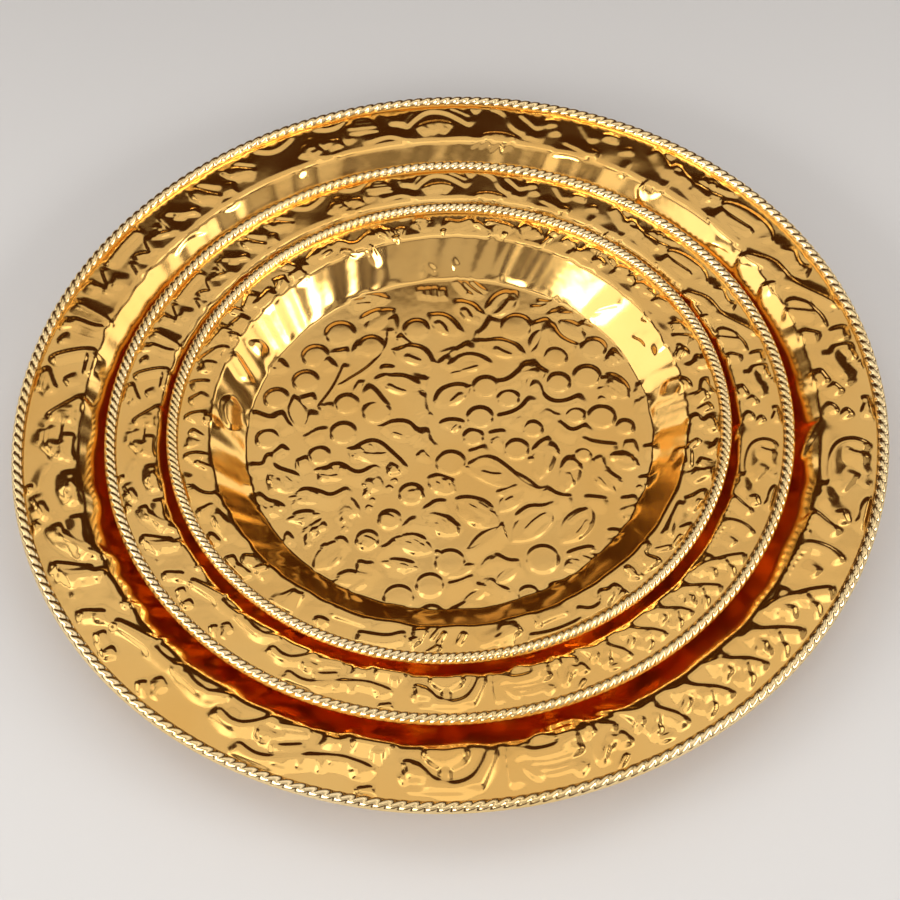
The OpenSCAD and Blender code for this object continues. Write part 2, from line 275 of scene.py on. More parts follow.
floorSoft = (
    (-48, 52, -47, 58, -44, 64), (-67, 20, -62, 22, -58, 25), (-75, 2, -70, 5, -65, 8, -59, 8),
    (-76, 7, -72, 12, -70, 21), (-46, 37, -41, 35), (-8, 37, -10, 33, -11, 27), (-5, 42, -2, 47, 3, 51),
    (16, 65, 19, 64, 22, 68, 26, 76), (44, 46, 47, 52, 49, 58, 53, 66), (42, 22, 44, 30, 44, 38),
    (46, 38, 47, 32), (30, 1, 33, 5, 37, 10), (54, 71, 57, 75, 61, 76, 65, 80), (-26, 62, -21, 66),
    (-18, -15, -15, -10, -12, -8), (-33, -20, -30, -16, -28, -15), (-45, -31, -43, -26, -39, -23),
    (-28, -53, -26, -54, -22, -50, -18, -46), (-66, -64, -63, -61, -60, -60), (-75, -55, -72, -51, -67, -47),
    (9, -81, 13, -76, 16, -71), (7, -92, 10, -86), (38, -21, 39, -16), (51, -28, 54, -25, 57, -18, 59, -16),
    (19, -7, 26, -3), (-96, -18, -97, -25, -96, -30), (72, -65, 76, -67, 81, -67), (-11, -70, -8, -67),
    (75, 21, 79, 24, 81, 30), (93, 17, 96, 20, 97, 27), (94, 15, 97, 14, 101, 18),
)
# drawn lines: midribs and the stripes of the fans
floorLines = (
    (-21, 52, -16, 49, -11, 46), (-30, 34, -26, 30, -19, 27), (-30, 3, -25, 1, -20, -2), (-91, 49, -86, 46),
    (-29, 70, -30, 60, -33, 53, -41, 44, -50, 38, -57, 33), (-67, 20, -60, 30, -56, 38, -52, 49),
    (11, 82, 14, 78, 16, 71), (-3, 74, 1, 69, 3, 62), (26, 74, 31, 78, 37, 87), (26, 54, 30, 50, 36, 47),
    (1, 38, 9, 39, 18, 42), (0, 18, 4, 22, 8, 26), (0, 1, 3, 4, 5, 6), (14, -23, 20, -26, 26, -26),
    (47, -13, 46, -20, 45, -27), (58, -26, 59, -31, 60, -36), (72, -30, 74, -35, 77, -39),
    (32, -61, 38, -54, 46, -49), (56, -65, 61, -60, 64, -54), (24, -43, 30, -39),
    (-63, -75, -60, -73, -55, -67), (-53, -87, -47, -84, -43, -81), (-50, -10, -44, -9, -37, -10, -30, -10),
    (-46, -5, -41, -9), (-40, -3, -36, -9), (-60, -16, -57, -20), (-55, -16, -51, -20),
    (-66, -20, -60, -22, -54, -21), (-70, -29, -64, -34), (-80, -36, -72, -34), (-78, -47, -70, -45),
    (-66, -51, -65, -56), (-70, -54, -67, -52), (-70, -58, -68, -61), (-45, -34, -40, -31),
    (-40, -35, -37, -38), (-42, -39, -38, -42), (-40, -25, -37, -33), (-31, -28, -28, -32),
    (-28, -24, -26, -28), (-54, -45, -51, -48, -48, -50), (-53, -50, -50, -54), (-32, -22, -29, -19),
    (-19, -32, -18, -37), (-16, -31, -14, -38), (6, -41, 12, -46, 19, -51), (6, -45, 11, -50, 16, -54),
    (8, -49, 14, -55), (11, -41, 16, -45, 20, -50), (-10, -51, -6, -55, -4, -60), (-7, -49, -3, -54, -1, -60),
    (-3, -50, 1, -55, 3, -60), (-13, -50, -10, -56, -9, -61), (-6, -26, -2, -29, 0, -34),
    (-9, -27, -5, -31, -4, -36), (-2, -26, 1, -30), (-25, -61, -20, -64, -15, -69),
    (-22, -60, -17, -63, -13, -67), (-29, -74, -24, -75, -20, -78), (-45, -57, -40, -59, -36, -63),
    (-45, -60, -41, -62), (-36, -46, -31, -46, -27, -50), (52, -78, 60, -83), (54, -76, 63, -81),
    (58, -74, 66, -79), (-86, -20, -84, -24, -81, -28), (-83, -19, -80, -22, -77, -26),
    (-88, -20, -87, -26, -85, -30), (-90, -18, -91, -24), (-94, -35, -89, -42), (-90, -36, -85, -43),
    (-87, -36, -83, -41), (-93, -40, -88, -45), (82, -18, 82, -23), (85, -18, 85, -23), (87, -18, 88, -23),
    (89, -19, 90, -24), (82, 28, 90, 20), (81, 25, 88, 18), (80, 22, 86, 16), (84, 30, 91, 23),
    (77, 19, 82, 15), (85, 45, 91, 38), (87, 47, 94, 39), (83, 43, 88, 37), (-50, 90, -38, 91),
    (-48, 87, -36, 88), (-44, 93, -36, 94), (9, 103, 12, 95, 17, 89), (12, 102, 16, 95, 23, 88),
    (16, 102, 21, 95, 25, 91), (14, 92, 18, 88), (-10, 98, -8, 88), (-6, 98, -5, 87), (-2, 98, -2, 86),
    (2, 97, 3, 86), (69, 65, 78, 70), (69, 65, 75, 65, 80, 62), (60, 74, 65, 73, 70, 75),
    (50, 84, 56, 82, 62, 84), (46, 80, 52, 79, 57, 81), (81, -54, 86, -55), (91, -36, 94, -40),
)
# leaf bodies: centre x, centre y, length, width, turn in degrees
floorLeaves = (
    (-24, 32, 30, 13, -22), (-16, 50, 28, 13, -25), (-24, 4, 27, 12, -15), (-76, 18, 26, 12, 100),
    (-33, 76, 22, 14, 40), (12, 43, 26, 12, 5), (28, 52, 32, 13, -25), (4, 23, 24, 12, 35),
    (14, 78, 22, 12, -60), (33, 82, 24, 14, 50), (0, 70, 24, 13, -50), (67, 62, 22, 12, -50),
    (85, 23, 22, 14, -45), (43, 32, 22, 7, 70), (48, 58, 20, 8, 62), (24, -28, 44, 14, -22),
    (38, -56, 32, 17, 40), (59, -58, 28, 16, 50), (46, -18, 30, 14, 75), (58, -28, 26, 13, 72),
    (74, -30, 26, 12, 115), (86, -23, 16, 12, -20), (29, -41, 24, 12, 45), (12, -49, 28, 16, -35),
    (59, -79, 22, 13, 20), (14, -62, 26, 8, 38), (24, -83, 20, 9, 40), (2, -80, 18, 9, 25),
    (77, -65, 12, 6, -5), (-37, -11, 34, 13, -20), (-57, -20, 26, 11, -12), (-68, -34, 28, 10, -4),
    (-73, -45, 20, 8, 8), (-89, -39, 16, 11, -40), (-82, -24, 20, 14, -35), (-60, -67, 26, 14, 45),
    (-68, -53, 18, 9, 60), (-49, -81, 24, 10, 8), (-20, -64, 24, 13, -25), (-27, -75, 22, 9, -15),
    (-5, -54, 20, 14, -40), (-5, -31, 18, 13, -30), (-40, -29, 16, 8, 70), (-48, -41, 16, 7, -60),
    (-10, -104, 20, 10, 0), (8, -94, 18, 8, 30),
)
# heights in millimetres, widths and lengths in percent of the floor's radius, overlap in radii
relief = {
    "berry": 0.75, "leaf": 0.6, "bold": 0.75, "soft": 0.6, "line": 0.45, "ceiling": 1.4,
    "edgeWidth": 3.4, "leafEdge": 2.9, "lineWidth": 1.8, "lineFade": 4.0, "fade": 9.0,
    "berryCrown": 0.15, "leafCrown": 0.2, "end": 2.0, "endShare": 2.4, "spare": 1.0, "overlap": 0.07,
}


def curved(stroke, passes=2, cut=0.25):
    # the points, with the corners cut off and those of the result cut off again
    points = np.array(stroke, float).reshape(-1, 2)
    for _ in range(passes):
        early = (1 - cut) * points[:-1] + cut * points[1:]
        late = cut * points[:-1] + (1 - cut) * points[1:]
        middle = np.stack([early, late], 1).reshape(-1, 2)
        points = np.vstack([points[:1], middle[1:-1] if len(points) > 2 else middle, points[-1:]])
    return points


def alongLine(points, x, y):
    # nearest distance, which side and how far along
    best = np.full(len(x), np.inf)
    side, run = np.zeros(len(x)), np.zeros(len(x))
    travelled = 0.0
    for a, b in zip(points[:-1], points[1:]):
        d = b - a
        size = np.hypot(*d)
        t = np.clip(((x - a[0]) * d[0] + (y - a[1]) * d[1]) / size ** 2, 0, 1)
        px, py = x - a[0] - t * d[0], y - a[1] - t * d[1]
        distance = np.hypot(px, py)
        closer = distance < best
        best = np.where(closer, distance, best)
        side = np.where(closer, np.sign(d[1] * px - d[0] * py), side)
        run = np.where(closer, travelled + t * size, run)
        travelled += size
    return best, side, run, travelled


def raiseEdge(height, near, points, x, y, shape, facing=1.0):
    # a step: steep on one side, falling off slowly on the other, and dying out at both ends
    tall, half, fade, end, endShare = shape
    distance, side, run, total = alongLine(points, x[near], y[near])
    signed = distance * side * facing
    taper = smooth(np.minimum(run, total - run) / min(end, total / endShare))
    step = smooth((signed + half) / (2 * half)) * (1 - smooth((signed - half) / fade))
    height[near] += tall * step * taper


def addEdges(height, x, y, strokes, tall, width, fade, turned=False):
    shape = tall, width / 2, fade, width + relief["end"], relief["endShare"]
    for stroke in strokes:
        points = curved(stroke)
        if turned and points[-1][0] < points[0][0]:
            points = points[::-1]  # so that the front side is the high one
        centre = points.mean(0)
        reach = np.hypot(*(points - centre).T).max() + fade + relief["spare"]
        near = np.nonzero((x - centre[0]) ** 2 + (y - centre[1]) ** 2 < reach ** 2)[0]
        raiseEdge(height, near, points, x, y, shape)


def raiseBody(height, near, inside, edge, deep, tall, crown):
    # steep at its edge, then gently crowned towards its middle
    body = tall * smooth(inside / edge) * (1 - crown + crown * smooth(inside / deep))
    height[near] = np.maximum(height[near], body)


def raiseBerries(height, x, y):
    for cx, cy, r in floorBerries:
        near = np.nonzero((x - cx) ** 2 + (y - cy) ** 2 < r ** 2)[0]
        inside = r - np.hypot(x[near] - cx, y[near] - cy)
        raiseBody(height, near, inside, relief["edgeWidth"], r, relief["berry"], relief["berryCrown"])


def raiseLeaves(height, x, y):
    # a leaf is the lens where two equal circles meet
    for cx, cy, length, width, turn in floorLeaves:
        near = np.nonzero((x - cx) ** 2 + (y - cy) ** 2 < (length / 2) ** 2)[0]
        c, s = cos(radians(turn)), sin(radians(turn))
        u, v = (x[near] - cx) * c + (y[near] - cy) * s, (y[near] - cy) * c - (x[near] - cx) * s
        bow = (length ** 2 + width ** 2) / (4 * width)
        inside = bow - np.hypot(u, np.abs(v) + bow - width / 2)
        raiseBody(height, near, inside, relief["leafEdge"], width / 2, relief["leaf"], relief["leafCrown"])


def limited(height, ceiling):
    return ceiling * np.tanh(height / ceiling)


def floorRelief(x, y):
    height = np.zeros(len(x))
    addEdges(height, x, y, floorBold, relief["bold"], relief["edgeWidth"], relief["fade"])
    addEdges(height, x, y, floorSoft, relief["soft"], relief["edgeWidth"], relief["fade"])
    raiseBerries(height, x, y)
    raiseLeaves(height, x, y)
    addEdges(height, x, y, floorLines, relief["line"], relief["lineWidth"], relief["lineFade"], True)
    return limited(height, relief["ceiling"])


# the rim's leaves and shells: degrees round the plate, percent of the way out across the design
# far edges are steep on the side away from the front, near edges on the front side; then drawn lines
rimFar = (
    (0, 67, 2, 50, 4.5, 44, 6.5, 52, 7, 72, 6.5, 96), (5, 70, 5.7, 80, 5, 88, 3.4, 90),
    (0, 38, 1.5, 28, 3.2, 25), (9.2, 50, 9.8, 40, 10.5, 25, 11, 9),
    (10, 62, 12.5, 62, 15, 53, 16.7, 35, 17.3, 12), (13, 57, 14, 42, 15, 22, 16, 4),
    (13.5, 100, 16, 80, 18, 62, 20, 50, 23, 47, 25.5, 44, 28, 20, 30, 0), (9.7, 98, 9.9, 78, 9.6, 56),
    (20.7, 24, 21.5, 12, 22.5, -2), (21.5, 78, 24, 84, 26, 94), (27.5, 62, 30, 86, 34, 86, 37, 78, 39.5, 58),
    (31, 60, 35, 51, 39, 48), (39, 75, 41.5, 63, 45, 62), (42, 92, 43.5, 79),
    (46, 65, 49, 60, 52, 88, 54, 98), (40, 50, 44, 55, 47, 72, 50, 84), (51, 20, 51.6, 8, 52.5, -2),
    (75, 25, 77, 35, 79, 37, 81, 32, 82, 22), (86, 50, 88, 64, 91, 62, 93, 48),
    (105.4, 58, 105.6, 45, 105.3, 30), (111, 70, 112, 55, 113.4, 35), (109.6, 62, 109.2, 45, 108.6, 32),
    (120, 50, 122, 70, 123.4, 86), (124.4, 52, 125.4, 36, 125.6, 20), (127.5, 32, 129, 55, 130.3, 88),
    (132.3, 50, 132.8, 35, 133.5, 25), (138.7, 45, 139.4, 30), (143.8, 25, 144.3, 42, 145.5, 54, 147, 55),
    (141, 95, 146, 93, 150, 88), (150, 62, 152, 52, 153.6, 42), (152.8, 96, 153.4, 78, 153.2, 60),
    (156.8, 97, 157.6, 65, 158.3, 35, 159.4, 4), (160, 88, 160.2, 60, 160.6, 35, 160.4, 10),
    (160, 90, 161.5, 96, 163, 90), (165, 8, 165.2, 35, 166, 58, 167, 80, 168.2, 93),
    (169, 87, 171.5, 71, 174, 54), (165.5, 26, 168, 23, 170.5, 21),
    (173.6, 12, 175, 25, 176.5, 50, 178.2, 72), (176, 24, 180, 19), (182.4, 32, 185, 33, 186.2, 29),
    (181, 17, 184, 22, 187, 16), (188, 17, 191, 21, 195, 16), (196, 17, 200, 24, 203, 20),
    (189.3, 90, 191, 85), (192.3, 76, 194, 71, 196.2, 63), (195.4, 93, 197, 79),
    (196.5, 53, 198.5, 53, 200.5, 41, 202, 29, 204.5, 20), (190, 20, 190.6, 32, 191.6, 41),
    (202.4, 89, 203.5, 68, 205, 42, 206, 24), (204, 86, 205.2, 60, 206.5, 26),
    (205.1, 81, 206, 50, 207.4, 10), (211, 88, 212, 66, 213.8, 44), (215.5, 86, 216, 62),
    (218, 71, 219.5, 74, 220.6, 80), (215, 44, 217.5, 31, 220, 21, 222, 11),
    (221.8, 21, 223.5, 27, 226, 24, 228.3, 17), (224.6, 87, 225.8, 70), (226.3, 48, 227.5, 56, 229, 62),
    (228, 17, 229.5, 27, 232.3, 31, 234.3, 22, 236.5, 11),
    (235.2, 37, 237, 46, 238.5, 50, 240.5, 40, 242.5, 20, 243.5, 9),
    (240, 70, 242, 78, 243.8, 80, 246.5, 70, 250, 52, 253, 44, 256, 46, 259, 58),
    (256, 90, 257.5, 86, 258.8, 79), (241.4, 45, 243, 39, 246, 41), (244, 60, 246.5, 50, 249, 37),
    (243.3, 28, 246, 19, 249.3, 11), (257, 28, 259.3, 24), (254, 16, 257, 12, 260.5, 9),
    (250.5, 13, 252, 20, 253.5, 18),
    (261, 41, 262.4, 36, 263.8, 43, 265.5, 62, 268, 73, 270.5, 64, 272, 42, 273, 14),
    (263.8, 14, 267, 19, 270.5, 14), (266, 50, 268.3, 50), (276, 23, 278, 30, 280.5, 33, 283, 28, 285.4, 24),
    (285.2, 56, 284.8, 44, 283.4, 37), (275, 14, 276.5, 21, 278.5, 12), (281.3, 18, 283.5, 16, 285.8, 18),
    (286.8, 12, 287.6, 35), (288, 18, 289.4, 24, 290.8, 33), (288.2, 38, 289.9, 53),
    (290.2, 38, 291, 55, 291.3, 73), (287.6, 54, 288.4, 61), (289.4, 77, 290, 85),
    (295.2, 26, 297, 42, 298.4, 62, 298.8, 86), (294.8, 39, 296.3, 49), (293.2, 33, 294.1, 48),
    (294.7, 56, 295.5, 72), (292, 18, 294.5, 24, 297, 17), (300.5, 20, 303, 41, 305, 62, 305.9, 87),
    (301.5, 47, 304, 58), (300, 40, 301, 56), (302.3, 70, 303, 83), (298.5, 16, 300.5, 24, 302.5, 17),
    (306, 18, 309, 38, 311, 60, 311.9, 87), (308.5, 49, 310.2, 61), (307.2, 38, 307.9, 57),
    (308.5, 67, 309.4, 84), (305, 16, 307, 22, 309, 16), (313, 20, 315.5, 40, 317.5, 65, 318.8, 93),
    (314.8, 51, 316.5, 62), (313.2, 41, 314.1, 62), (314.5, 70, 315.6, 86), (311.5, 20, 313.3, 25, 315.5, 17),
    (318.5, 18, 322, 40, 324.5, 64, 326.3, 94), (321.7, 52, 323.6, 59), (319.4, 36, 320.9, 62),
    (321.8, 70, 323, 87), (317, 17, 320, 26, 323, 20), (330, 92, 331.2, 72, 331.6, 46, 331, 18),
    (334.4, 72, 335.2, 46, 336.2, 26, 337, 14), (335.8, 78, 337, 87, 339.5, 85, 341.3, 97),
    (335.8, 78, 337, 68, 338.2, 60), (341, 34, 343, 25, 346, 23, 348.6, 30, 350, 48, 350.2, 70, 349, 94),
    (347.6, 92, 347.8, 70, 348.4, 45), (353.5, 74, 355.5, 80, 356.8, 94), (354, 42, 355.8, 38, 356.8, 20),
    (354, 66, 355, 58, 355.6, 50), (357.3, 96, 357.2, 78), (358.3, 57, 359.4, 46, 360.4, 38),
    (338.8, 14, 340, 22, 342, 12),
)
rimNear = (
    (0, 54, 1.5, 43, 4, 33, 6.5, 37), (14, 56, 15.6, 35, 16.8, 16),
    (12.5, 96, 15, 76, 17.5, 56, 19, 40, 19.6, 18), (19.6, 68, 20.6, 82, 21.6, 98),
    (21, 28, 23.5, 26, 26, 12, 29, -4), (31, 64, 35, 58, 39.3, 55), (38, 92, 40, 78, 44, 71, 45.4, 74),
    (41.5, 96, 43.6, 85), (40, 42, 44, 49, 47, 60), (25.5, 58, 27, 68, 28, 60), (50.5, 82, 52.5, 92),
    (48.6, 58, 50, 72), (56, 55, 57, 78), (59.4, 66, 59.8, 92), (61, 40, 61.2, 25, 61.5, 12),
    (61.5, 66, 62.5, 86), (63.2, 46, 65.2, 70, 67.2, 96), (68.4, 48, 69.4, 74, 69.8, 98), (71, 60, 72, 88),
    (72.2, 48, 74.5, 70, 76.8, 93), (74, 32, 76.4, 46, 77.6, 62, 78.2, 80, 80, 94, 81.4, 96),
    (61.5, 12, 64, 24, 67, 30, 68.6, 42), (71, 22, 72.5, 28, 75, 32),
    (83.4, 44, 85.6, 65, 88, 84, 90.5, 88, 92.4, 72, 94.6, 44), (82.6, 80, 84.6, 98),
    (83.4, 66, 85.6, 84, 88, 98), (92, 96, 93.6, 78, 95.2, 50), (97.3, 96, 96.5, 54),
    (94, 10, 96, 26, 97.8, 33, 102, 24), (98, 49, 101, 54, 104.2, 57), (98.2, 60, 101, 65, 104.2, 69),
    (98.6, 71, 101, 76, 103.6, 80), (99.4, 82, 101.4, 86, 103, 90), (103, 92, 104.6, 78, 105, 52, 104.3, 30),
    (102.6, 100, 104, 86, 106.4, 80, 108.4, 90, 109.2, 100), (108.4, 34, 109, 48, 109.8, 64),
    (110.6, 82, 110.8, 60, 111.4, 48), (111.4, 100, 113, 82, 116, 70, 118, 84, 119.2, 100),
    (110.6, 12, 111, 44), (120, 56, 121.6, 74, 123.2, 92), (123.8, 40, 124.2, 56, 125.2, 78, 125.2, 96),
    (127, 48, 128.6, 72, 130.2, 93), (131, 34, 131.6, 60, 131.4, 96), (134, 34, 136, 60, 137.4, 82),
    (135, 36, 137, 58), (137.8, 88, 138.4, 68, 138.6, 46, 139.6, 24), (142, 72, 143.4, 50, 144.6, 24),
    (147.4, 56, 148, 36, 149.4, 16), (141, 80, 146, 80, 150, 72), (150, 94, 152, 70, 153.6, 47),
    (154, 70, 154.4, 48, 154.2, 30), (158.2, 92, 158.6, 55, 159.4, 14), (164.6, 92, 165, 78, 164.4, 60),
    (171, 56, 172, 44, 173, 38), (183, 74, 184.2, 62, 185.4, 50), (191.4, 96, 193, 86, 196, 76),
    (199, 66, 201, 47, 203.4, 29, 205.8, 14), (207.4, 10, 208, 24, 208.6, 36),
    (213, 76, 216, 52, 219.5, 42, 223, 38), (226, 36, 230, 38, 233, 44), (235, 52, 238, 62, 240, 58),
    (241.5, 56, 244, 60), (242, 36, 245, 27, 249, 17), (252.4, 0, 254, 15, 256.4, 23, 259, 19, 261.4, 12),
    (261, 60, 262.4, 80), (261.6, 50, 263.6, 76), (262.2, 50, 264.6, 74),
    (264, 15, 264.6, 36, 266.4, 50, 269, 48, 270.8, 20), (271.4, 90, 272.4, 62, 273.6, 36, 274.4, 12),
    (275, 92, 274.9, 60, 275, 26), (276.4, 48, 277.2, 68, 279, 88), (283, 94, 284.6, 82, 285.4, 70),
    (278.2, 8, 279.2, 18, 281.6, 12), (281, 4, 284, -5, 286.2, 5, 286.4, 34, 285.8, 60, 286, 90),
    (288, -6, 290.4, 6, 292, 28, 293.2, 62, 293.4, 78), (294.2, 72, 294, 90), (299.6, 62, 301.2, 88),
    (306.6, 58, 306.8, 84), (312, 50, 312.4, 82), (325.4, 54, 328, 64), (335.4, 62, 337, 40, 338.8, 14),
    (340, 50, 342, 62, 344.6, 78), (346.6, -15, 349.4, -8, 350.8, 5, 354, 12), (359, 60, 360.6, 50),
    (7.3, 56, 7.3, 76, 8, 96), (221.4, 14, 222.6, 12), (213, 16, 214, 24, 215.4, 14),
)
rimLines = (
    (30, 20, 32, 11, 35, 8, 38, 14, 39.6, 24), (30, 0, 33, -3, 36, -12),
    (47.5, 46, 47.7, 28, 47.6, 12, 49.4, -6), (55.6, 46, 55.4, 22, 55.2, 0), (76, 12, 78, -3),
    (77.5, 18, 80, -3), (79, 22, 82, 0), (80.5, 20, 83.4, 0), (63, 8, 66, 10, 69, 4), (87, 44, 88, 26),
    (88.5, 46, 90, 28), (90, 44, 91.4, 26), (140.2, 68, 140.8, 44), (141, 70, 142, 48),
    (139.8, 74, 139.6, 50), (107, 8, 107.8, 20), (114.6, 18, 114.4, 0), (126, 6, 128, 4, 130, 8),
    (134, -2, 138, 9, 142, 0), (170, 95, 174, 92), (170.5, 89, 174, 86), (171, 82, 174, 79),
    (180, 70, 183.4, 73), (179.6, 62, 183.8, 65), (179.4, 54, 184.2, 57), (179.2, 46, 184.6, 49),
    (179, 38, 184.8, 40), (178.4, 60, 180.4, 66), (177.6, 52, 179.4, 58), (186.4, 48, 188, 67, 191.4, 78),
    (191.4, 28, 192.6, 38), (192.2, 26, 193.4, 37), (208, 60, 207.6, 80), (209.4, 84, 209, 60),
    (248.6, 82, 249.8, 78), (251, 79, 252.6, 74), (249.4, 67, 250.8, 60), (252.4, 64, 253.6, 57),
    (255.1, 66, 256.4, 60), (255.4, 76, 257.2, 72), (245.3, 88, 248, 85), (262, 88, 270, 88),
    (264.4, 80, 268, 83, 272, 76), (277, 45, 280, 51, 284, 48), (277.4, 55, 281, 61, 284.2, 57),
    (278, 65, 281, 71, 284.2, 66), (279, 76, 281, 80, 283.6, 76), (324.6, 13, 324.8, 27),
    (325.6, 12, 326, 26), (326.6, 12, 327.2, 27), (327.6, 13, 328.3, 30), (328.6, 14, 329.4, 33),
    (329.6, 14, 330.2, 36), (332.2, 12, 332.5, 24), (333.2, 12, 333.6, 25), (334.2, 12, 334.7, 26),
    (335.2, 12, 335.6, 26), (344, 88, 346, 60), (342, 90, 343.4, 70), (2, 92, 3.6, 84), (22, 88, 25.4, 99),
    (216, 90, 220, 93), (229, 84, 227, 88),
)
# the small plate's own rim and wall
smallFar = (
    (0, 80, 1.5, 65, 3, 60), (5.5, 95, 5.8, 75, 5, 62, 2, 50, 0, 55),
    (3.2, 36, 5, 28, 6.5, 20, 8, -5, 9.5, -40), (8, 78, 11, 92, 15, 98), (9, 45, 10.5, 58, 12, 72, 13, 80),
    (12.5, 62, 14.5, 55, 16.5, 45, 17.2, 25), (14, 50, 15.3, 32), (16.5, 100, 18, 88, 19, 60, 20, 30),
    (22.3, 98, 22, 72, 23, 58, 22.8, 42), (31, 98, 31, 75, 30.5, 45), (34, 98, 34.5, 80, 37, 90),
    (36.5, 45, 37.5, 75), (38.8, 90, 39.8, 70, 40, 50), (41.5, 98, 41.5, 78, 44, 80), (43.2, 55, 44, 70),
    (45.5, 52, 48, 62, 50, 65), (46, 98, 47, 75), (48.5, 85, 50, 90, 51, 80), (51.5, 95, 51.5, 70),
    (53.5, 95, 53, 72, 53.5, 52, 56, 62), (55, 85, 57, 75, 57.2, 60), (57.5, 95, 58.5, 80, 59, 60, 59.2, 50),
    (60, 80, 61.5, 92, 63, 97), (61, 55, 62.5, 62), (63.5, 50, 64.5, 65, 66, 85, 66.5, 98),
    (66.5, 75, 68, 88, 70, 97), (70.5, 55, 72, 68, 74, 75, 76, 70, 77.5, 60), (78, 55, 78.3, 80),
    (80, 75, 81.5, 48), (81.3, 95, 83, 75, 85, 64, 87, 72, 88.5, 80), (72, 30, 73, 35, 74, 28),
    (87.5, 22, 88.5, 32, 89.5, 22), (91.5, 72, 94, 88, 95, 98), (95.3, 72, 95, 90),
    (97.3, 50, 99, 60, 101, 52), (99.2, 15, 100.3, 28, 101.8, 24, 102.3, 14),
    (101.5, 72, 103, 60, 103.5, 80, 106, 75), (106, 75, 109, 55, 110.5, 45, 112, 50, 114.5, 75, 115, 95),
    (104, 65, 105.5, 50), (107, 20, 109.8, 5), (114.5, 40, 115.5, 22), (117.2, 38, 117.4, 55),
    (116, 95, 118, 78, 121, 60, 122.5, 52), (118, 95, 122, 72, 124.5, 60), (126, 48, 128, 42, 130, 50),
    (130, 52, 132, 60, 134, 70), (131.8, 40, 132.5, 58), (127, 98, 130, 85), (135, 55, 139, 48, 143, 45),
    (139, 98, 142, 80, 145, 60), (144.5, 95, 147.5, 88), (145, 55, 148, 55, 150, 68),
    (150.5, 90, 152, 78, 155, 85, 157.5, 98), (152.4, 55, 151.3, 35, 151.4, 18, 152.3, 5),
    (162.3, 98, 159.5, 80, 157, 60, 155.5, 35, 156.5, 12), (162.5, 85, 161, 55, 161, 25),
    (168, 98, 167, 75, 166.5, 45, 166.3, 25), (172.7, 88, 171, 60, 169, 38),
    (178, 90, 176.5, 78, 175.6, 55, 175.3, 15), (175.5, 22, 178, 25, 180, 20),
    (167, -40, 169, -18, 172, -12, 176, -25, 178, -50), (155.5, 10, 157, -25, 160, -75),
    (148, -60, 148.5, -25, 152, -8), (180, 52, 181, 62, 182, 70),
    (188, 95, 187, 78, 186.8, 50, 187.5, 25, 188.5, 15), (189, 45, 190.5, 62),
    (194.5, 72, 196, 74, 198, 55, 199, 30, 198, 15), (201.5, 98, 201.8, 70, 201.2, 30),
    (207.5, 95, 208.5, 80, 211, 73, 212.8, 77), (215, 98, 215.8, 75, 216, 62),
    (217, 85, 219, 72, 222, 66, 223.5, 74), (216.5, 55, 218, 35, 219.5, 15), (203, 35, 205, 30, 209, 28),
    (222, 18, 224, 30), (231, 25, 232.5, 34, 235, 24), (238.6, 85, 239.5, 68, 241, 62, 243.5, 70),
    (248, 65, 252, 62, 255, 58, 257, 45, 259, 33), (258.7, 65, 261, 52, 262.5, 66), (265.2, 68, 266.3, 88),
    (266, 30, 267.5, 40), (259, 32, 262, 22, 264, 30), (270, 32, 271.8, 45),
    (276, 70, 278.5, 60, 280.5, 42, 282.5, 47, 283.2, 70), (283.2, 70, 285, 80, 290, 88, 296.5, 84),
    (278, 22, 280, 30, 283, 28), (295.2, 40, 297, 68, 299, 75, 301.5, 63),
    (301.5, 30, 302.5, 45, 304, 50, 306, 42), (305.2, 72, 306, 98), (309, 30, 311, 34),
    (316.2, 98, 316, 70, 315.3, 45, 316, 35, 319, 32), (319.5, 90, 320.5, 75), (323.5, 95, 323.5, 78),
    (328, 98, 326, 78, 324.3, 68, 324.3, 58), (321, 30, 322, 42, 326, 34, 332, 31), (333, 95, 333.2, 75),
    (336.8, 98, 335.5, 75, 333, 55, 332.2, 35), (342.4, 98, 341.2, 75, 340.8, 55, 341.5, 45),
    (341.5, 42, 343, 50, 344.5, 52), (340, 35, 343, 28, 345.5, 22, 346.5, 5, 347.5, -30),
    (346.3, 62, 346.8, 80, 349, 88, 350, 88), (347.8, 50, 349.2, 28), (351.5, 98, 353, 88, 356, 72),
    (352, 62, 355, 45, 357, 28), (357, 85, 359.5, 65),
)
smallNear = (
    (6.5, 60, 8.5, 40, 11, 30), (17.6, 20, 17.6, -30), (20.6, 60, 21, 92), (31.6, 60, 32.4, 85),
    (40.6, 60, 40.8, 92), (46, 40, 50, 32, 55, 40), (68, 20, 69.5, 55, 71, 70), (76, 0, 77, 30, 78.6, 42),
    (94, 20, 94.4, 55, 95.6, 62), (103, 20, 104.6, 40, 108, 42), (113, 40, 116, 72),
    (123, 40, 126, 32, 131, 30), (150, 60, 152.6, 68, 155.4, 60), (163.6, 30, 164.6, 60, 164, 92),
    (184, 20, 185.5, 60, 185, 92), (192.6, 60, 195, 90, 199, 96), (204, 50, 208, 66, 213, 60),
    (218.6, 60, 222, 55, 226, 66), (228, 92, 232, 98, 236, 88), (241, 50, 246, 46, 251, 50),
    (263.4, 50, 264.6, 60), (273, 90, 276, 82, 281, 62), (285, 62, 290, 52, 294, 60),
    (300, 90, 303, 80, 304.6, 60), (307, 52, 309, 72, 311.6, 92), (322, 50, 322.6, 70),
    (329.6, 60, 331, 80, 332, 96), (336, 45, 338.6, 70, 340.6, 96), (344.4, 60, 345.4, 80, 348, 98),
    (350, 70, 354, 62, 356.4, 52),
)
